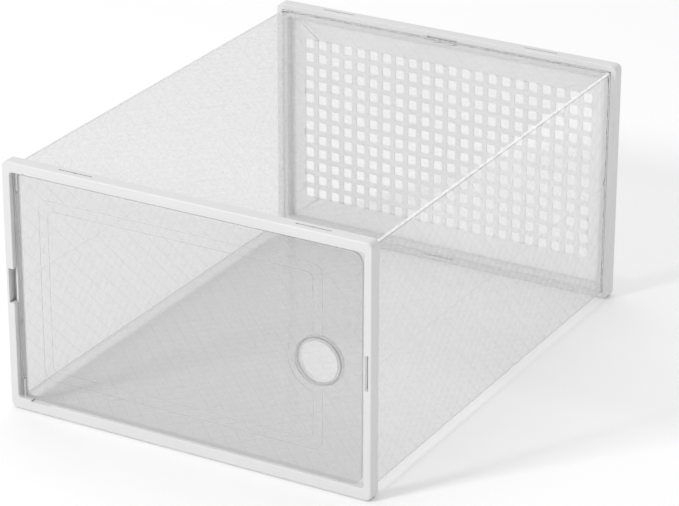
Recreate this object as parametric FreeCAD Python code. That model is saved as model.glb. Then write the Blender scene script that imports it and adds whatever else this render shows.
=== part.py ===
import FreeCAD, Part
import os

# Clear stackable shoe box: a folded sheet sleeve held between a rigid front frame with a
# side-hinged door and a rigid rear frame with a perforated vent panel.
# Millimetres. X runs left to right, Y from the door to the vent panel, Z up.
# The origin is the middle of the footprint, on the surface that the box stands on.

Vector = FreeCAD.Vector

# ---- overall size -------------------------------------------------------------------
WIDTH = 280.0
HEIGHT = 181.5
DEPTH = 370.0
FRONT = -DEPTH / 2
REAR = DEPTH / 2
MID_Z = HEIGHT / 2

# ---- frames -------------------------------------------------------------------------
FRAME_DEPTH = 10.0          # how far each frame reaches along the box
CORNER_RADIUS = 4.5         # rounded outer corners of both frames
FRONT_EDGE_ROUND = 1.2      # rounding of a frame's outward edge
BACK_EDGE_ROUND = 0.5       # rounding of a frame's edge that faces the sleeve
FLANGE_WALL = 4.4           # wall that wraps around the outside of the sleeve

RIM_LEFT = 6.3              # front frame's stiles
RIM_RIGHT = 5.5
RIM_TOP = 7.3               # front frame's rails
RIM_BOTTOM = 8.5
RIM_DEPTH = 4.0
RIM_CORNER = 2.5
RIM_EDGE_ROUND = 0.6
DOORWAY_MID_Z = (RIM_BOTTOM + HEIGHT - RIM_TOP) / 2

REAR_RIM = 9.0              # rear frame's lip, which keeps the vent panel in
REAR_RIM_DEPTH = 2.0
REAR_RIM_CORNER = 6.0

# ---- sleeve -------------------------------------------------------------------------
SLEEVE_INSET = 4.5          # the sleeve's outer face lies this far inside the frames
SHEET = 0.8
FLAP_WIDTH = 8.7
FLAP_THICKNESS = 0.6
FLAP_END_GAP = 12.0
SIDE_CREASE_Z = 89.8        # the side walls fold here when the sleeve is packed flat
CREASE_WIDTH = 0.8
CREASE_CUT = 0.3

# ---- clamp rings --------------------------------------------------------------------
RING_FIT = 0.1              # play between a clamp ring and the sleeve
FRONT_RING_WALL = 1.6
REAR_RING_WALL = 3.6
RING_SEAT_GAP = 0.2         # play between a ring and what it seats against

# ---- latch pockets and stacking slots -------------------------------------------------
POCKET_HEIGHT = 25.0
POCKET_WALL = 2.4           # what a pocket leaves of the stile's outside
POCKET_DEPTH = 8.5
FRONT_SLOT_CENTRES = (-84.0, 95.5)
REAR_SLOT_CENTRES = (-88.4, 78.5)
SLOT_LENGTH = 25.0
SLOT_WIDTH = 0.8
SLOT_CUT = 1.6
SLOT_SETBACK = 5.5          # from the frame's outward face
KEYHOLE_LENGTH = 3.0
KEYHOLE_WIDTH = 1.6
KEYHOLE_CUT = 3.0
END_HOLE_LENGTH = 1.8
END_HOLE_WIDTH = 1.2

# ---- sheet clips --------------------------------------------------------------------
CLIP_RELIEF_LENGTH = 24.0
CLIP_RELIEF_HEIGHT = 1.2
CLIP_LENGTH = 23.2
CLIP_THICKNESS = 1.0
CLIP_DEPTH = 4.0
CLIP_SETBACK = 1.0

# ---- hinge --------------------------------------------------------------------------
HINGE_X = -129.6
HINGE_Y = FRONT + 2.8
BARREL_RADIUS = 2.0
BARREL_END_GAP = 1.4
PIN_RADIUS = 0.85
BORE_RADIUS = 0.9
BORE_DEPTH = 14.0
PIN_IN_FRAME = 4.6
PIN_IN_BARREL = 12.0
HINGE_RELIEF = (-123.4, -107.9)   # where the rails stand back beside the hinge
HINGE_RELIEF_CUT = 1.0
GUIDE_HEIGHT = 10.0               # ribs on the clamp ring that steady the barrel
GUIDE_OFFSET = 32.6
GUIDE_REACH = 1.1
GUIDE_DEPTH = 2.4

# ---- door ---------------------------------------------------------------------------
DOOR_RIGHT = 132.5
DOOR_MARGIN = 1.0           # gap between the door and the rails
DOOR_FACE = FRONT + 1.2
DOOR_THICKNESS = 1.8
DOOR_CORNER = 8.0
BEAD_HEIGHT = 0.5           # raised band pressed into the door
BEAD_LEFT = -111.6
BEAD_RIGHT = 103.9
BEAD_BOTTOM = 27.5
BEAD_TOP = 159.2
BEAD_WIDTH = 6.9
BEAD_OUTER_CORNER = 7.0
BEAD_INNER_CORNER = 4.0
NIB_RADIUS = 1.2            # latch nibs on the door's top and bottom edges
NIB_RISE = 0.7
NIB_X = 116.0

# ---- finger ring --------------------------------------------------------------------
RING_X = 101.0
RING_Z = DOORWAY_MID_Z
RING_BORE = 14.0
RING_BODY = 15.6
RING_LIP = 17.7
RING_LIP_THICKNESS = 0.8
RING_CLEARANCE = 0.1
RING_DETOUR = 22.7          # the bead's inner edge goes round the ring at this radius

# ---- vent panel ---------------------------------------------------------------------
VENT_COLUMNS = 22
VENT_ROWS = 12
VENT_PITCH = 11.0
VENT_HOLE = 7.0
VENT_HOLE_CORNER = 1.0
VENT_THICKNESS = 1.6
VENT_EDGE = 5.5             # from the outside of the frame to the panel's edge


def block(x0, x1, y0, y1, z0, z1):
    """A box between two opposite corners."""
    return Part.makeBox(x1 - x0, y1 - y0, z1 - z0, Vector(x0, y0, z0))


def edges_along(shape, axis):
    """The straight edges of a shape that run along X (0), Y (1) or Z (2)."""
    found = []
    for edge in shape.Edges:
        if isinstance(edge.Curve, Part.Line):
            direction = edge.tangentAt(edge.FirstParameter)
            if abs(abs(direction[axis]) - 1.0) < 1e-6:
                found.append(edge)
    return found


def edges_in_plane(shape, y):
    """The edges of a shape that lie wholly at one Y."""
    return [e for e in shape.Edges if abs(e.BoundBox.YMin - y) < 1e-6 and abs(e.BoundBox.YMax - y) < 1e-6]


def slab(width, height, radius, y0, y1):
    """An upright rounded rectangle, centred in the box's section, from y0 to y1."""
    plain = block(-width / 2, width / 2, y0, y1, MID_Z - height / 2, MID_Z + height / 2)
    if radius > 0:
        plain = plain.makeFillet(radius, edges_along(plain, 1))
    return plain


def inset_slab(inset, radius, y0, y1):
    """A rounded rectangle that stays the same distance inside the outer section."""
    return slab(WIDTH - 2 * inset, HEIGHT - 2 * inset, radius, y0, y1)


def disc(radius, y0, y1):
    """A cylinder along Y at the finger ring."""
    return Part.makeCylinder(radius, y1 - y0, Vector(RING_X, y0, RING_Z), Vector(0, 1, 0))


def stacking_cuts(slot_y, centres):
    """Hairline slots in a frame's top and bottom, each with a keyhole and a hole at its left end."""
    cuts = []
    for centre in centres:
        left = centre - SLOT_LENGTH / 2
        right = centre + SLOT_LENGTH / 2
        for face, inward in ((HEIGHT, -1), (0.0, 1)):
            for x0, x1, wide, deep in (
                (left, right, SLOT_WIDTH, SLOT_CUT),
                (centre - KEYHOLE_LENGTH / 2, centre + KEYHOLE_LENGTH / 2, KEYHOLE_WIDTH, KEYHOLE_CUT),
                (left - END_HOLE_LENGTH / 2, left + END_HOLE_LENGTH / 2, END_HOLE_WIDTH, SLOT_CUT),
            ):
                low, high = sorted((face, face + inward * deep))
                cuts.append(block(x0, x1, slot_y - wide / 2, slot_y + wide / 2, low, high))
    return cuts


def clip_cuts(y0, y1):
    """Reliefs for the sheet clips, in the middle of the top and bottom flanges."""
    half = CLIP_RELIEF_LENGTH / 2
    top = HEIGHT - FLANGE_WALL
    return [
        block(-half, half, y0, y1, top - CLIP_RELIEF_HEIGHT, top + CLIP_RELIEF_HEIGHT),
        block(-half, half, y0, y1, FLANGE_WALL - CLIP_RELIEF_HEIGHT, FLANGE_WALL + CLIP_RELIEF_HEIGHT),
    ]


def frame_blank(outer_y, inner_y):
    """The rounded outside of a frame: outer_y faces out of the box, inner_y faces the sleeve."""
    blank = inset_slab(0.0, CORNER_RADIUS, min(outer_y, inner_y), max(outer_y, inner_y))
    blank = blank.makeFillet(FRONT_EDGE_ROUND, edges_in_plane(blank, outer_y))
    return blank.makeFillet(BACK_EDGE_ROUND, edges_in_plane(blank, inner_y))


def make_front_frame():
    """The door's surround: flange around the sleeve, rim, latch pockets, hinge holes."""
    back = FRONT + FRAME_DEPTH
    frame = frame_blank(FRONT, back)
    rim_left = -WIDTH / 2 + RIM_LEFT
    rim_right = WIDTH / 2 - RIM_RIGHT
    rim_high = HEIGHT - RIM_TOP
    doorway = block(rim_left, rim_right, FRONT - 1, back + 1, RIM_BOTTOM, rim_high)
    frame = frame.cut(doorway.makeFillet(RIM_CORNER, edges_along(doorway, 1)))
    inner_edges = [
        edge for edge in edges_in_plane(frame, FRONT)
        if rim_left - 1e-6 <= edge.CenterOfMass.x <= rim_right + 1e-6
        and RIM_BOTTOM - 1e-6 <= edge.CenterOfMass.z <= rim_high + 1e-6
    ]
    frame = frame.makeFillet(RIM_EDGE_ROUND, inner_edges)
    frame = frame.cut(inset_slab(FLANGE_WALL, 0, FRONT + RIM_DEPTH, back + 1))
    cuts = stacking_cuts(FRONT + SLOT_SETBACK, FRONT_SLOT_CENTRES) + clip_cuts(FRONT + RIM_DEPTH, back + 1)
    pocket_low = DOORWAY_MID_Z - POCKET_HEIGHT / 2
    pocket_high = DOORWAY_MID_Z + POCKET_HEIGHT / 2
    for side, rim_edge in ((-1, rim_left + 1), (1, rim_right - 1)):
        x0, x1 = sorted((rim_edge, side * (WIDTH / 2 - POCKET_WALL)))
        cuts.append(block(x0, x1, FRONT - 1, FRONT + POCKET_DEPTH, pocket_low, pocket_high))
    for rail_edge, upward in ((rim_high, 1), (RIM_BOTTOM, -1)):
        hole_start = Vector(HINGE_X, HINGE_Y, rail_edge - upward)
        cuts.append(Part.makeCylinder(PIN_RADIUS, PIN_IN_FRAME + 1, hole_start, Vector(0, 0, upward)))
        low, high = sorted((rail_edge - upward, rail_edge + upward * HINGE_RELIEF_CUT))
        cuts.append(block(HINGE_RELIEF[0], HINGE_RELIEF[1], FRONT - 1, FRONT + RIM_DEPTH, low, high))
    for cut in cuts:
        frame = frame.cut(cut)
    return frame.removeSplitter()


def make_front_clamp_ring():
    """The inner ring that holds the sleeve against the front frame, with the hinge guides."""
    outer = SLEEVE_INSET + SHEET + RING_FIT
    inner = outer + FRONT_RING_WALL
    y0 = FRONT + RIM_DEPTH + RING_SEAT_GAP
    y1 = FRONT + FRAME_DEPTH
    ring = inset_slab(outer, 0, y0, y1).cut(inset_slab(inner, 1.0, y0 - 1, y1 + 1))
    wall_x = -(WIDTH / 2 - inner)
    for offset in (-GUIDE_OFFSET, GUIDE_OFFSET):
        middle = DOORWAY_MID_Z + offset
        guide = block(wall_x - FRONT_RING_WALL / 2, wall_x + GUIDE_REACH, y0, y0 + GUIDE_DEPTH,
                      middle - GUIDE_HEIGHT / 2, middle + GUIDE_HEIGHT / 2)
        ring = ring.fuse(guide)
    return ring.removeSplitter()


def make_sheet_clips(y0, y1):
    """Two flat wedges that lock the sleeve's edge under the middle of each flange."""
    half = CLIP_LENGTH / 2
    top = HEIGHT - SLEEVE_INSET
    return Part.makeCompound([
        block(-half, half, y0, y1, top, top + CLIP_THICKNESS),
        block(-half, half, y0, y1, SLEEVE_INSET - CLIP_THICKNESS, SLEEVE_INSET),
    ])


def make_hinge_pin(upper):
    """A short pin from a rail into the end of the door's barrel."""
    if upper:
        z0 = HEIGHT - RIM_TOP - BARREL_END_GAP - PIN_IN_BARREL
        z1 = HEIGHT - RIM_TOP + PIN_IN_FRAME
    else:
        z0 = RIM_BOTTOM - PIN_IN_FRAME
        z1 = RIM_BOTTOM + BARREL_END_GAP + PIN_IN_BARREL
    return Part.makeCylinder(PIN_RADIUS, z1 - z0, Vector(HINGE_X, HINGE_Y, z0))


def make_door_panel():
    """The clear door: flat sheet, hinge barrel, raised band, ring hole and latch nibs."""
    low = RIM_BOTTOM + DOOR_MARGIN
    high = HEIGHT - RIM_TOP - DOOR_MARGIN
    back = DOOR_FACE + DOOR_THICKNESS
    panel = block(HINGE_X, DOOR_RIGHT, DOOR_FACE, back, low, high)
    free_corners = [edge for edge in edges_along(panel, 1) if edge.CenterOfMass.x > 0]
    panel = panel.makeFillet(DOOR_CORNER, free_corners)
    barrel_low = RIM_BOTTOM + BARREL_END_GAP
    barrel_high = HEIGHT - RIM_TOP - BARREL_END_GAP
    barrel = Part.makeCylinder(BARREL_RADIUS, barrel_high - barrel_low, Vector(HINGE_X, HINGE_Y, barrel_low))
    # The sheet stops level with the barrel's ends where the two meet.
    for z0, z1 in ((low - 1, barrel_low), (barrel_high, high + 1)):
        panel = panel.cut(block(HINGE_X - 1, HINGE_X + 2 * BARREL_RADIUS, FRONT, back + 1, z0, z1))
    panel = panel.fuse(barrel)

    band_front = DOOR_FACE - BEAD_HEIGHT
    outline = block(BEAD_LEFT, BEAD_RIGHT, band_front, DOOR_FACE, BEAD_BOTTOM, BEAD_TOP)
    outline = outline.makeFillet(BEAD_OUTER_CORNER, edges_along(outline, 1))
    field = block(BEAD_LEFT + BEAD_WIDTH, BEAD_RIGHT - BEAD_WIDTH, band_front - 1, DOOR_FACE + 1,
                  BEAD_BOTTOM + BEAD_WIDTH, BEAD_TOP - BEAD_WIDTH)
    field = field.makeFillet(BEAD_INNER_CORNER, edges_along(field, 1))
    field = field.cut(disc(RING_DETOUR, band_front - 2, DOOR_FACE + 2))
    band = outline.cut(field).cut(disc(RING_LIP, band_front - 1, DOOR_FACE + 1))
    panel = panel.fuse(band)

    for edge_z, inward in ((high, -1), (low, 1)):
        centre_z = edge_z + inward * (NIB_RADIUS - NIB_RISE)
        nib = Part.makeCylinder(NIB_RADIUS, DOOR_THICKNESS, Vector(NIB_X, DOOR_FACE, centre_z), Vector(0, 1, 0))
        panel = panel.fuse(nib)
    panel = panel.cut(disc(RING_BODY + RING_CLEARANCE, FRONT - 1, back + 1))
    for start_z, along in ((barrel_low - 1, 1), (barrel_high + 1, -1)):
        start = Vector(HINGE_X, HINGE_Y, start_z)
        panel = panel.cut(Part.makeCylinder(BORE_RADIUS, BORE_DEPTH + 1, start, Vector(0, 0, along)))
    return panel.removeSplitter()


def make_finger_ring():
    """The grommet in the door that a finger goes through: a short tube with two lips."""
    back = DOOR_FACE + DOOR_THICKNESS
    ring = disc(RING_BODY, DOOR_FACE - RING_LIP_THICKNESS, back + RING_LIP_THICKNESS)
    ring = ring.fuse(disc(RING_LIP, DOOR_FACE - RING_LIP_THICKNESS, DOOR_FACE))
    ring = ring.fuse(disc(RING_LIP, back, back + RING_LIP_THICKNESS))
    return ring.cut(disc(RING_BORE, FRONT - 1, back + 2)).removeSplitter()


def side_crease(outer_x, inward, y0, y1):
    """The V-shaped score line along the outside of a side wall."""
    half = CREASE_WIDTH / 2
    corners = [
        Vector(outer_x - inward, y0, SIDE_CREASE_Z - half),
        Vector(outer_x, y0, SIDE_CREASE_Z - half),
        Vector(outer_x + inward * CREASE_CUT, y0, SIDE_CREASE_Z),
        Vector(outer_x, y0, SIDE_CREASE_Z + half),
        Vector(outer_x - inward, y0, SIDE_CREASE_Z + half),
    ]
    section = Part.Face(Part.makePolygon(corners + corners[:1]))
    return section.extrude(Vector(0, y1 - y0, 0))


def make_sleeve():
    """The folded sheet: four walls that meet at its creases, and the seam's glued flap."""
    y0 = FRONT + RIM_DEPTH + RING_SEAT_GAP
    y1 = REAR - REAR_RIM_DEPTH - RING_SEAT_GAP
    outer_x = WIDTH / 2 - SLEEVE_INSET
    low = SLEEVE_INSET
    high = HEIGHT - SLEEVE_INSET
    inner_x = outer_x - SHEET
    left = block(-outer_x, -inner_x, y0, y1, low + SHEET, high - SHEET)
    right = block(inner_x, outer_x, y0, y1, low + SHEET, high - SHEET)
    return {
        "top_panel": block(-outer_x, outer_x, y0, y1, high - SHEET, high),
        "bottom_panel": block(-outer_x, outer_x, y0, y1, low, low + SHEET),
        "left_panel": left.cut(side_crease(-outer_x, 1, y0, y1)),
        "right_panel": right.cut(side_crease(outer_x, -1, y0, y1)),
        "seam_flap": block(-inner_x, -inner_x + FLAP_WIDTH, FRONT + FLAP_END_GAP, REAR - FLAP_END_GAP,
                           low + SHEET, low + SHEET + FLAP_THICKNESS),
    }


def make_rear_frame():
    """The surround of the vent panel: flange around the sleeve and a lip at the back."""
    front = REAR - FRAME_DEPTH
    frame = frame_blank(REAR, front)
    opening = slab(WIDTH - 2 * REAR_RIM, HEIGHT - 2 * REAR_RIM, REAR_RIM_CORNER, front - 1, REAR + 1)
    frame = frame.cut(opening)
    frame = frame.cut(inset_slab(FLANGE_WALL, 0, front - 1, REAR - REAR_RIM_DEPTH))
    cuts = stacking_cuts(REAR - SLOT_SETBACK, REAR_SLOT_CENTRES) + clip_cuts(front - 1, REAR - REAR_RIM_DEPTH)
    for cut in cuts:
        frame = frame.cut(cut)
    return frame.removeSplitter()


def make_rear_clamp_ring():
    """The inner ring that holds the sleeve and the vent panel in the rear frame."""
    outer = SLEEVE_INSET + SHEET + RING_FIT
    y0 = REAR - FRAME_DEPTH
    y1 = REAR - REAR_RIM_DEPTH - VENT_THICKNESS - RING_SEAT_GAP
    ring = inset_slab(outer, 0, y0, y1)
    return ring.cut(inset_slab(outer + REAR_RING_WALL, 2.0, y0 - 1, y1 + 1))


def make_vent_panel():
    """The perforated back: a grid of square holes with rounded corners."""
    y1 = REAR - REAR_RIM_DEPTH
    y0 = y1 - VENT_THICKNESS
    panel = inset_slab(VENT_EDGE, 0, y0, y1)
    half = VENT_HOLE / 2
    hole = block(-half, half, y0 - 1, y1 + 1, -half, half)
    hole = hole.makeFillet(VENT_HOLE_CORNER, edges_along(hole, 1))
    holes = []
    for column in range(VENT_COLUMNS):
        for row in range(VENT_ROWS):
            place = Vector((column - (VENT_COLUMNS - 1) / 2) * VENT_PITCH, 0,
                           MID_Z + (row - (VENT_ROWS - 1) / 2) * VENT_PITCH)
            holes.append(hole.translated(place))
    return panel.cut(Part.makeCompound(holes))


def main():
    clip_front = FRONT + FRAME_DEPTH - CLIP_SETBACK - CLIP_DEPTH
    clip_rear = REAR - FRAME_DEPTH + CLIP_SETBACK
    nodes = {
        "front_frame": make_front_frame(),
        "front_clamp_ring": make_front_clamp_ring(),
        "front_sheet_clips": make_sheet_clips(clip_front, clip_front + CLIP_DEPTH),
        "upper_hinge_pin": make_hinge_pin(True),
        "lower_hinge_pin": make_hinge_pin(False),
        "door_panel": make_door_panel(),
        "finger_ring": make_finger_ring(),
        "rear_frame": make_rear_frame(),
        "rear_clamp_ring": make_rear_clamp_ring(),
        "rear_sheet_clips": make_sheet_clips(clip_rear, clip_rear + CLIP_DEPTH),
        "vent_panel": make_vent_panel(),
    }
    nodes.update(make_sleeve())
    os.makedirs("parts", exist_ok=True)
    for name, shape in nodes.items():
        shape.exportStep("parts/" + name + ".step")
        print(name, len(shape.Solids), "solid(s)", round(shape.Volume / 1000, 2), "cm3", shape.isValid())


main()
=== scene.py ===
import math

import bmesh
import bpy
from mathutils import Euler, Matrix, Vector


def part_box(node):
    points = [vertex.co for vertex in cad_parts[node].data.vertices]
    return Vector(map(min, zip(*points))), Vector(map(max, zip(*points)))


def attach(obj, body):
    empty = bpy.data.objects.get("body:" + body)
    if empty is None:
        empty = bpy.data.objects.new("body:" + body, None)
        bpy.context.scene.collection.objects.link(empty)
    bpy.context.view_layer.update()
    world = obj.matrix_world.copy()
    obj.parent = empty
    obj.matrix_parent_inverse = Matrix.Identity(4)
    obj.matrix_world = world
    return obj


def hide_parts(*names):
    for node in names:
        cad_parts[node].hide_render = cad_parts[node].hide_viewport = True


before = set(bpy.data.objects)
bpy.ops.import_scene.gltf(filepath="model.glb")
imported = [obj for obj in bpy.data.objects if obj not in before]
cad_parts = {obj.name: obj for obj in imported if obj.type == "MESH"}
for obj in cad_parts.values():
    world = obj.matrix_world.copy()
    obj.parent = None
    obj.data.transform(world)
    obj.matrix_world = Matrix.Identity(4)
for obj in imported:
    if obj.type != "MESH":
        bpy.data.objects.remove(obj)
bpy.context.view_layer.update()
MM = 0.001

# ---- camera: the photograph's viewing angle -------------------------------------------
CAMERA_LENS = 166.755
CAMERA_PLACE = (0.996997, -1.751111, 0.965170)
CAMERA_TILT = 66.14055      # degrees; 90 looks level
CAMERA_LEAN = -0.09460      # degrees about the level line that the camera faces along
CAMERA_HEADING = 29.38185   # degrees to the left of +Y

camera_data = bpy.data.cameras.new("camera")
camera_data.lens = CAMERA_LENS
camera_data.sensor_width = 36.0
camera_data.clip_start = 0.05
camera_data.clip_end = 50.0
camera = bpy.data.objects.new("camera", camera_data)
bpy.context.scene.collection.objects.link(camera)
camera_turn = Euler([math.radians(angle) for angle in (CAMERA_TILT, CAMERA_LEAN, CAMERA_HEADING)])
camera.matrix_world = Matrix.LocRotScale(Vector(CAMERA_PLACE), camera_turn, None)
bpy.context.scene.camera = camera


# ---- materials --------------------------------------------------------------------------
def new_material(name):
    """A material with a plain Principled shader, with its nodes, its links and that shader."""
    material = bpy.data.materials.new(name)
    material.use_nodes = True
    nodes = material.node_tree.nodes
    nodes.clear()
    output = nodes.new("ShaderNodeOutputMaterial")
    shader = nodes.new("ShaderNodeBsdfPrincipled")
    material.node_tree.links.new(shader.outputs["BSDF"], output.inputs["Surface"])
    return material, nodes, material.node_tree.links, shader


def noise(nodes, links, coords, scale, detail, roughness=0.5):
    texture = nodes.new("ShaderNodeTexNoise")
    texture.inputs["Scale"].default_value = scale
    texture.inputs["Detail"].default_value = detail
    texture.inputs["Roughness"].default_value = roughness
    links.new(coords.outputs["Object"], texture.inputs["Vector"])
    return texture


def spread(nodes, links, source, low, high):
    """Maps a texture's 0.3 to 0.7 onto a range."""
    ramp = nodes.new("ShaderNodeMapRange")
    ramp.inputs["From Min"].default_value = 0.3
    ramp.inputs["From Max"].default_value = 0.7
    ramp.inputs["To Min"].default_value = low
    ramp.inputs["To Max"].default_value = high
    links.new(source, ramp.inputs["Value"])
    return ramp.outputs["Result"]


def bump(nodes, links, height, distance, strength, before=None):
    node = nodes.new("ShaderNodeBump")
    node.inputs["Distance"].default_value = distance
    node.inputs["Strength"].default_value = strength
    links.new(height, node.inputs["Height"])
    if before is not None:
        links.new(before, node.inputs["Normal"])
    return node.outputs["Normal"]


# How far, and with how many rays, the painted crevice shade looks for nearby faces.
CREVICE_SHADE_REACH = 1.3 * MM
CREVICE_SHADE_SAMPLES = 8
ROUGH_SPREAD = 0.05


def moulded_plastic(name, colour, shade, rough, grain, subsurface=0.0, painted_crevice_shade=True):
    """Opaque injection-moulded plastic: fine spark-eroded grain, slow flow shading and, unless
    painted_crevice_shade is off, painted shade in narrow crevices.

    shade is the share of the colour that is left where the flow shading is darkest, and grain
    is the depth of the spark-eroded grain in hundredths of a millimetre.
    """
    material, nodes, links, shader = new_material(name)
    coords = nodes.new("ShaderNodeTexCoord")
    slow = noise(nodes, links, coords, scale=18.0, detail=3.0)
    fine = noise(nodes, links, coords, scale=2600.0, detail=2.0)
    peel = noise(nodes, links, coords, scale=420.0, detail=2.0)
    mix = nodes.new("ShaderNodeMix")
    mix.data_type = "RGBA"
    mix.inputs["A"].default_value = (*colour, 1.0)
    mix.inputs["B"].default_value = (*[c * shade for c in colour], 1.0)
    links.new(spread(nodes, links, slow.outputs["Fac"], 0.0, 1.0), mix.inputs["Factor"])
    links.new(mix.outputs["Result"], shader.inputs["Base Color"])
    if painted_crevice_shade:
        # Painted shade: an ambient occlusion node darkens the colour in narrow slots and gaps, where
        # shade falls.
        occlusion_shade = nodes.new("ShaderNodeAmbientOcclusion")
        occlusion_shade.samples = CREVICE_SHADE_SAMPLES
        occlusion_shade.only_local = True
        occlusion_shade.inputs["Distance"].default_value = CREVICE_SHADE_REACH
        links.new(mix.outputs["Result"], occlusion_shade.inputs["Color"])
        links.new(occlusion_shade.outputs["Color"], shader.inputs["Base Color"])
    patchy = spread(nodes, links, peel.outputs["Fac"], rough - ROUGH_SPREAD, rough + ROUGH_SPREAD)
    links.new(patchy, shader.inputs["Roughness"])
    normal = bump(nodes, links, peel.outputs["Fac"], distance=0.03 * MM, strength=0.5)
    normal = bump(nodes, links, fine.outputs["Fac"], distance=0.01 * MM * grain, strength=0.6,
                  before=normal)
    links.new(normal, shader.inputs["Normal"])
    shader.inputs["IOR"].default_value = 1.49
    if subsurface:
        shader.inputs["Subsurface Weight"].default_value = subsurface
        shader.inputs["Subsurface Radius"].default_value = (1.0, 1.0, 1.0)
        shader.inputs["Subsurface Scale"].default_value = 2.0 * MM
    return material


HEAD_ON = 0.035             # what a face of clear plastic mirrors of light that meets it square


def schlick(nodes, links, normal):
    """Schlick's Fresnel term, which is the same from both sides of a skin."""
    facing = nodes.new("ShaderNodeLayerWeight")
    facing.inputs["Blend"].default_value = 0.5
    links.new(normal, facing.inputs["Normal"])
    power = nodes.new("ShaderNodeMath")
    power.operation = "POWER"
    power.inputs[1].default_value = 5.0
    links.new(facing.outputs["Facing"], power.inputs[0])
    mirror = nodes.new("ShaderNodeMath")
    mirror.operation = "MULTIPLY_ADD"
    mirror.inputs[1].default_value = 1.0 - HEAD_ON
    mirror.inputs[2].default_value = HEAD_ON
    links.new(power.outputs["Value"], mirror.inputs[0])
    return mirror.outputs["Value"]


def clear_plastic(name, tint, rough, wave, haze, milk=0.92, painted_glow=0.0):
    """Clear plastic skin: what is behind shows through, with a Fresnel gloss and a milky haze.

    tint is what passes straight through, haze is the milky share and milk is how white it is,
    wave is the depth of the skin's slow ripple in metres, and painted_glow is painted light: an
    emission standing in for the light that a fold gives back after carrying it along inside the
    sheet.
    """
    material, nodes, links, shader = new_material(name)
    coords = nodes.new("ShaderNodeTexCoord")
    slow = noise(nodes, links, coords, scale=14.0, detail=2.0)
    scuff = noise(nodes, links, coords, scale=240.0, detail=6.0, roughness=0.65)
    normal = bump(nodes, links, slow.outputs["Fac"], distance=wave, strength=0.4)
    through = nodes.new("ShaderNodeBsdfTransparent")
    through.inputs["Color"].default_value = (tint, tint, tint, 1.0)
    shader.inputs["Base Color"].default_value = (milk, milk, milk, 1.0)
    shader.inputs["Roughness"].default_value = 0.5
    # Painted highlight: an emission that makes the skin shine though it is no lamp.
    shader.inputs["Emission Strength"].default_value = painted_glow
    cloudy = nodes.new("ShaderNodeMixShader")
    milkiness = spread(nodes, links, scuff.outputs["Fac"], haze * 0.7, haze * 1.3)
    links.new(milkiness, cloudy.inputs["Fac"])
    links.new(through.outputs["BSDF"], cloudy.inputs[1])
    links.new(shader.outputs["BSDF"], cloudy.inputs[2])
    gloss = nodes.new("ShaderNodeBsdfAnisotropic")
    gloss.inputs["Color"].default_value = (1.0, 1.0, 1.0, 1.0)
    patchy = spread(nodes, links, scuff.outputs["Fac"], rough * 0.5, rough * 1.5)
    links.new(patchy, gloss.inputs["Roughness"])
    links.new(normal, gloss.inputs["Normal"])
    surface = nodes.new("ShaderNodeMixShader")
    links.new(schlick(nodes, links, normal), surface.inputs["Fac"])
    links.new(cloudy.outputs["Shader"], surface.inputs[1])
    links.new(gloss.outputs["BSDF"], surface.inputs[2])
    links.new(surface.outputs["Shader"], nodes["Material Output"].inputs["Surface"])
    return material


FRAME_WHITE = moulded_plastic(
    "frame_white", colour=(0.705, 0.705, 0.705), shade=0.97, rough=0.36, grain=1.0)
RING_WHITE = moulded_plastic(
    "ring_white", colour=(0.70, 0.70, 0.70), shade=0.97, rough=0.42, grain=1.2)
VENT_WHITE = moulded_plastic(
    "vent_white", colour=(0.87, 0.87, 0.875), shade=0.96, rough=0.45, grain=1.2,
    subsurface=0.25, painted_crevice_shade=False)
PIN_WHITE = moulded_plastic(
    "pin_white", colour=(0.80, 0.80, 0.80), shade=0.97, rough=0.30, grain=0.6)

CLEAR_DOOR = clear_plastic(
    "clear_door", tint=0.90, rough=0.04, wave=0.2 * MM, haze=0.006)
# Painted shade: a milky grey for the walls and rounded edges of the clear door and finger ring,
# standing in for the light their plastic bends away.
DOOR_WALL_SHADE = clear_plastic(
    "clear_door_wall_painted_shade", tint=0.82, rough=0.10, wave=0.2 * MM, haze=0.45, milk=0.62)
RING_WALL_SHADE = clear_plastic(
    "clear_ring_wall_painted_shade", tint=0.93, rough=0.10, wave=0.2 * MM, haze=0.45, milk=0.85)
CLEAR_SHEET = clear_plastic(
    "clear_sheet", tint=0.972, rough=0.06, wave=0.4 * MM, haze=0.045, milk=0.88)
RIDGES = clear_plastic(
    "sheet_lattice", tint=0.972, rough=0.12, wave=0.2 * MM, haze=0.12)
# Folds: a whitish haze of the sheet itself, plus a painted glow that makes each fold shine as a
# bright line.
CREASED_PAINTED_GLOW = clear_plastic(
    "creased_sheet_painted_glow", tint=0.97, rough=0.15, wave=0.2 * MM, haze=0.6, milk=0.95, painted_glow=0.15)
# Painted shade: a darker tint for the strip beside each fold of a side wall, where the fold's shade
# falls.
PAINTED_FOLD_SHADE = clear_plastic(
    "painted_fold_shade_sheet", tint=0.70, rough=0.15, wave=0.2 * MM, haze=0.05)
SCORED = clear_plastic(
    "scored_sheet", tint=0.97, rough=0.15, wave=0.2 * MM, haze=0.16, milk=0.95)
TUCKED = clear_plastic(
    "tucked_sheet", tint=0.95, rough=0.15, wave=0.2 * MM, haze=0.9, milk=0.90)

FINISH = {
    "front_frame": FRAME_WHITE, "rear_frame": FRAME_WHITE,
    "front_clamp_ring": RING_WHITE, "rear_clamp_ring": RING_WHITE,
    "front_sheet_clips": RING_WHITE, "rear_sheet_clips": RING_WHITE,
    "upper_hinge_pin": PIN_WHITE, "lower_hinge_pin": PIN_WHITE,
    "vent_panel": VENT_WHITE,
    "door_panel": CLEAR_DOOR, "finger_ring": CLEAR_DOOR,
    "seam_flap": CLEAR_SHEET,
}


def set_material(obj, material):
    obj.data.materials.clear()
    obj.data.materials.append(material)


WELD_REACH = 0.002 * MM
BEVEL_STEPS = 2
SHARP_ANGLE = math.radians(30)


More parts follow.
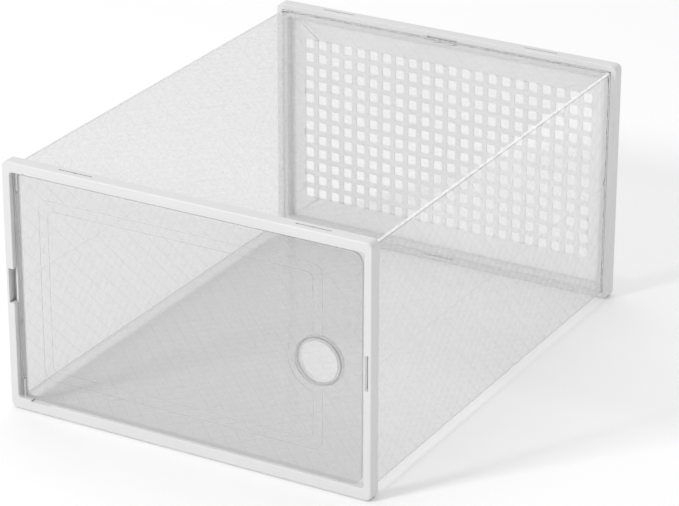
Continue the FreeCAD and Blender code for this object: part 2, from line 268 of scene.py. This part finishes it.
def soften(obj, width, slot_index=-1):
    """Welds a CAD node's faces together and rounds its sharp edges.

    The rounded edges take the material in slot_index, or their neighbour's where it is -1.
    """
    weld = obj.modifiers.new("weld", "WELD")
    weld.merge_threshold = WELD_REACH
    bevel = obj.modifiers.new("bevel", "BEVEL")
    bevel.width = width
    bevel.segments = BEVEL_STEPS
    bevel.limit_method = "ANGLE"
    bevel.angle_limit = SHARP_ANGLE
    bevel.use_clamp_overlap = True
    bevel.material = slot_index
    normals = obj.modifiers.new("normals", "WEIGHTED_NORMAL")
    normals.weight = 100


EDGE_ROUNDS = {
    "front_frame": 0.15 * MM, "rear_frame": 0.15 * MM, "front_clamp_ring": 0.15 * MM,
    "rear_clamp_ring": 0.20 * MM, "vent_panel": 0.20 * MM,
}
CLEAR_EDGE_ROUND = 0.20 * MM
CLEAR_UNDERSIDE = 2.0 * MM  # the lowest walls of a clear part stay clear up to this height

for node, material in FINISH.items():
    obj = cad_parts[node]
    set_material(obj, material)

for node, width in EDGE_ROUNDS.items():
    soften(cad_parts[node], width)
for node, edge in (("door_panel", DOOR_WALL_SHADE), ("finger_ring", RING_WALL_SHADE)):
    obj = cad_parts[node]
    obj.data.materials.append(edge)
    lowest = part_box(node)[0].z
    for polygon in obj.data.polygons:
        # The walls that stand out from the flat sheet bend light away and read as thin grey lines,
        # so they are given a painted grey in place of that light.
        is_wall = abs(polygon.normal.y) < 0.5
        polygon.material_index = int(is_wall and polygon.center.z >= lowest + CLEAR_UNDERSIDE)
    soften(obj, CLEAR_EDGE_ROUND, slot_index=1)

# ---- the sleeve: one folded sheet with a raised diamond lattice --------------------------
PITCH = 9.2 * MM            # between parallel lines of the lattice
PHASE_A = 2.0 * MM          # from the lattice's zero to a line that runs one way
PHASE_B = 1.6 * MM          # and to a line that runs the other way
RIDGE_TOP = 0.22 * MM       # half widths of a ridge
RIDGE_FOOT = 0.52 * MM
RIDGE_RISE = 0.10 * MM
SURFACE_DROP = 0.05 * MM    # the plain surface lies this far inside the CAD face
FOLD = 1.2 * MM             # outside radius of the four folds
FOLD_STEPS = 4
SCORE_Z = 89.8 * MM         # the score line in the middle of each side wall
SCORE_HALF = 0.4 * MM
SCORE_DEPTH = 0.2 * MM
FOLD_SHADE_WIDTH = 1.0 * MM           # the strip beside each fold of a side wall, whose darker tint is painted shade of the fold
SMOOTH_ANGLE = math.radians(24)
NEAR = 1e-6                 # metres within which two points are the same
HAIR = 1e-7                 # metres within which a point lies on a crease
ROUNDING = 1e-9             # metres that adding up lengths can leave over
ROOT2 = math.sqrt(2)
SHEET_FINISHES = (CLEAR_SHEET, CREASED_PAINTED_GLOW, RIDGES, TUCKED, PAINTED_FOLD_SHADE, SCORED)


class SleeveSection:
    """The sleeve's section, followed by s, the distance round its outer face from the seam.

    The sheet is built flat, with s across it and y along the box, and is folded up at the end.
    """

    def __init__(self):
        top_low, top_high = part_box("top_panel")
        x1 = top_high[0]
        z0, z1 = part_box("bottom_panel")[0][2], top_high[2]
        self.y0, self.y1 = top_low[1], top_high[1]
        self.inner_face = -(top_high[2] - top_low[2]) + SURFACE_DROP
        long_x = 2 * (x1 - FOLD)
        long_z = z1 - z0 - 2 * FOLD
        self.arc = math.pi / 2 * FOLD
        # straight length, start, direction and outward, the last three in x and z
        self.sides = (
            (long_z, Vector((-x1, z0 + FOLD)), Vector((0, 1)), Vector((-1, 0))),
            (long_x, Vector((-x1 + FOLD, z1)), Vector((1, 0)), Vector((0, 1))),
            (long_z, Vector((x1, z1 - FOLD)), Vector((0, -1)), Vector((1, 0))),
            (long_x, Vector((x1 - FOLD, z0)), Vector((-1, 0)), Vector((0, -1))),
        )
        self.fold_starts = []
        self.total = 0.0
        for side in self.sides:
            self.total += side[0]
            self.fold_starts.append(self.total)
            self.total += self.arc
        left_start = 0.0
        right_start = long_z + self.arc + long_x + self.arc
        # The lattice is measured from here, half the top's width before the top begins.
        self.lattice_zero = long_z + self.arc - (x1 - FOLD)
        self.scores = (SCORE_Z - z0 - FOLD, right_start + z1 - FOLD - SCORE_Z)
        self.fold_shade_strips = []
        for start in (left_start, right_start):
            self.fold_shade_strips += [(start, start + FOLD_SHADE_WIDTH), (start + long_z - FOLD_SHADE_WIDTH, start + long_z)]
        # Between these two values of y the sheet is in the open, outside the frames.
        self.open_y = (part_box("front_frame")[1][1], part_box("rear_frame")[0][1])

    def creases(self):
        """Every s where the surface or its finish changes, from 0 to the whole way round."""
        found = [0.0]
        for start in self.fold_starts:
            found += [start + self.arc * step / FOLD_STEPS for step in range(FOLD_STEPS + 1)]
        for score in self.scores:
            found += [score - SCORE_HALF, score, score + SCORE_HALF]
        for shade_strip in self.fold_shade_strips:
            found += shade_strip
        return sorted(set(found))

    def in_fold(self, s):
        return any(start < s < start + self.arc for start in self.fold_starts)

    def score_depth(self, s):
        return sum(SCORE_DEPTH * max(0.0, 1 - abs(s - score) / SCORE_HALF) for score in self.scores)

    def place(self, s, height):
        """The point of the section at s, height above the outer face."""
        left = s
        for length, start, along, outward in self.sides:
            if left <= length + ROUNDING:
                return start + along * left + outward * height
            left -= length
            if left <= self.arc + ROUNDING:
                centre = start + along * length - outward * FOLD
                turn = left / FOLD
                return centre + (outward * math.cos(turn) + along * math.sin(turn)) * (FOLD + height)
            left -= self.arc
        return self.sides[0][1] + self.sides[0][3] * height


def lattice_lines(low, high, phase):
    """The feet and tops of parallel ridges: where each lies, and whether it is raised."""
    edges = []
    k = math.floor((low - phase) / PITCH) - 1
    while phase + k * PITCH < high + PITCH:
        middle = phase + k * PITCH
        for offset, raised in ((-RIDGE_FOOT, 0), (-RIDGE_TOP, 1), (RIDGE_TOP, 1), (RIDGE_FOOT, 0)):
            edges.append((middle + offset, raised))
        k += 1
    return edges


def add_lattice(mesh, section):
    """The flat sheet's outer face, on a grid turned by 45 degrees whose lines are the ridges."""
    shift = section.lattice_zero
    total, y0, y1 = section.total, section.y0, section.y1
    us = lattice_lines((y0 - shift) / ROOT2, (total - shift + y1) / ROOT2, PHASE_A)
    vs = lattice_lines((shift - total + y0) / ROOT2, (shift + y1) / ROOT2, PHASE_B)
    grid = {}

    def vertex(i, j):
        if (i, j) not in grid:
            u, up_u = us[i]
            v, up_v = vs[j]
            height = RIDGE_RISE * max(up_u, up_v)
            grid[i, j] = mesh.verts.new(((u - v) / ROOT2 + shift, (u + v) / ROOT2, height))
        return grid[i, j]

    for i in range(len(us) - 1):
        u = (us[i][0] + us[i + 1][0]) / 2
        for j in range(len(vs) - 1):
            v = (vs[j][0] + vs[j + 1][0]) / 2
            s_mid = (u - v) / ROOT2 + shift
            y_mid = (u + v) / ROOT2
            if -PITCH < s_mid < total + PITCH and y0 - PITCH < y_mid < y1 + PITCH:
                corners = (vertex(i, j), vertex(i + 1, j), vertex(i + 1, j + 1), vertex(i, j + 1))
                mesh.faces.new(corners)


def cut(mesh, point, normal, clear):
    """Cuts the mesh along a plane, and clears what lies on the normal's side if asked to."""
    geometry = list(mesh.verts) + list(mesh.edges) + list(mesh.faces)
    bmesh.ops.bisect_plane(mesh, geom=geometry, dist=HAIR, plane_co=point, plane_no=normal,
                           clear_outer=clear, clear_inner=False)


def trim_and_crease(mesh, section):
    """Trims the sheet to its flat size and adds the lines along which it folds or changes."""
    cut(mesh, (0, section.y0, 0), (0, -1, 0), True)
    cut(mesh, (0, section.y1, 0), (0, 1, 0), True)
    cut(mesh, (0, 0, 0), (-1, 0, 0), True)
    cut(mesh, (section.total, 0, 0), (1, 0, 0), True)
    for s in section.creases()[1:-1]:
        cut(mesh, (s, 0, 0), (1, 0, 0), False)
    for y in section.open_y:
        cut(mesh, (0, y, 0), (0, 1, 0), False)


def finish_at(face, section):
    """The finish of a face of the flat sheet's outer side."""
    middle = face.calc_center_median()
    if not section.open_y[0] < middle.y < section.open_y[1]:
        return TUCKED
    # folds, whitish and with their painted glow
    if section.in_fold(middle.x):
        return CREASED_PAINTED_GLOW
    # strips beside the folds that carry painted shade
    if any(low < middle.x < high for low, high in section.fold_shade_strips):
        return PAINTED_FOLD_SHADE
    if any(abs(middle.x - score) < SCORE_HALF for score in section.scores):
        return SCORED
    if any(v.co.z > 0.5 * RIDGE_RISE for v in face.verts):
        return RIDGES
    return CLEAR_SHEET


def row_at(mesh, y):
    """The vertices that lie across the sheet at y, in order round the section."""
    return sorted((v for v in mesh.verts if abs(v.co.y - y) < NEAR), key=lambda v: v.co.x)


def add_inner_face(mesh, section):
    """The sheet's ends and its plain inner face."""
    ends = [row_at(mesh, section.y0), row_at(mesh, section.y1)]
    under = {}
    for end in ends:
        for v in end:
            under[v] = mesh.verts.new((v.co.x, v.co.y, section.inner_face))
    for a, b in zip(ends[0], ends[0][1:]):
        mesh.faces.new((a, b, under[b], under[a]))
    for a, b in zip(ends[1], ends[1][1:]):
        mesh.faces.new((b, a, under[a], under[b]))
    creases = section.creases()
    for low, high in zip(creases, creases[1:]):
        first = [under[v] for v in ends[0] if low - HAIR <= v.co.x <= high + HAIR]
        last = [under[v] for v in ends[1] if low - HAIR <= v.co.x <= high + HAIR]
        face = mesh.faces.new(first + last[::-1])
        finish = CREASED_PAINTED_GLOW if section.in_fold((low + high) / 2) else CLEAR_SHEET
        face.material_index = SHEET_FINISHES.index(finish)


def add_body_at_frames(mesh, section):
    """The sheet's body, seen edge-on where it runs in under a frame."""
    for y in section.open_y:
        row = row_at(mesh, y)
        under = [mesh.verts.new((v.co.x, y, section.inner_face)) for v in row]
        for corners in zip(row, row[1:], under[1:], under):
            mesh.faces.new(corners).material_index = SHEET_FINISHES.index(TUCKED)


def sleeve_sheet():
    """The whole sleeve: built flat, given its finishes, then folded round the section."""
    section = SleeveSection()
    mesh = bmesh.new()
    add_lattice(mesh, section)
    trim_and_crease(mesh, section)
    for face in mesh.faces:
        face.material_index = SHEET_FINISHES.index(finish_at(face, section))
    for v in mesh.verts:
        v.co.z -= section.score_depth(v.co.x)
    add_inner_face(mesh, section)
    add_body_at_frames(mesh, section)
    for v in mesh.verts:
        spot = section.place(min(max(v.co.x, 0.0), section.total), v.co.z - SURFACE_DROP)
        v.co = (spot.x, v.co.y, spot.y)
    bmesh.ops.remove_doubles(mesh, verts=list(mesh.verts), dist=NEAR)
    bmesh.ops.recalc_face_normals(mesh, faces=list(mesh.faces))
    data = bpy.data.meshes.new("sleeve_sheet")
    mesh.to_mesh(data)
    mesh.free()
    for material in SHEET_FINISHES:
        data.materials.append(material)
    data.shade_smooth()
    data.set_sharp_from_angle(angle=SMOOTH_ANGLE)
    obj = bpy.data.objects.new("sleeve_sheet", data)
    bpy.context.scene.collection.objects.link(obj)
    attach(obj, "sleeve")
    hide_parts("top_panel", "bottom_panel", "left_panel", "right_panel")


sleeve_sheet()

# ---- floor and light ---------------------------------------------------------------------
FLOOR_HALF = 6.0            # metres
FLOOR_DROP = 0.2 * MM       # keeps the floor just clear of the box's underside

floor_mesh = bpy.data.meshes.new("floor")
corner_signs = ((-1, -1), (1, -1), (1, 1), (-1, 1))
floor_corners = [(x * FLOOR_HALF, y * FLOOR_HALF, 0) for x, y in corner_signs]
floor_mesh.from_pydata(floor_corners, [], [(0, 1, 2, 3)])
floor = bpy.data.objects.new("floor", floor_mesh)
floor.location.z = -FLOOR_DROP
bpy.context.scene.collection.objects.link(floor)
floor_material, _, _, floor_shader = new_material("floor_white")
floor_shader.inputs["Base Color"].default_value = (0.97, 0.97, 0.97, 1.0)
floor_shader.inputs["Roughness"].default_value = 0.7
set_material(floor, floor_material)

SKY_STRENGTH = 0.685        # the white room's even light

world = bpy.data.worlds.new("world")
world.use_nodes = True
sky = world.node_tree.nodes["Background"]
sky.inputs["Color"].default_value = (1, 1, 1, 1)
sky.inputs["Strength"].default_value = SKY_STRENGTH
bpy.context.scene.world = world


def softbox(name, place, target, size, watts):
    """A square light of the given size in metres, turned towards a target."""
    data = bpy.data.lights.new(name, "AREA")
    data.shape = "SQUARE"
    data.size = size
    data.energy = watts
    light = bpy.data.objects.new(name, data)
    light.location = place
    light.rotation_mode = "QUATERNION"
    light.rotation_quaternion = (Vector(place) - Vector(target)).to_track_quat("Z", "Y")
    bpy.context.scene.collection.objects.link(light)


softbox("key", place=(-1.31, -2.34, 1.85), target=(0, 0, 0.1), size=0.5, watts=39)
softbox("top", place=(-0.4, 0.8, 2.6), target=(0, 0, 0), size=2.4, watts=17)

bpy.context.scene.view_settings.view_transform = "Standard"
bpy.context.scene.cycles.transparent_max_bounces = 32
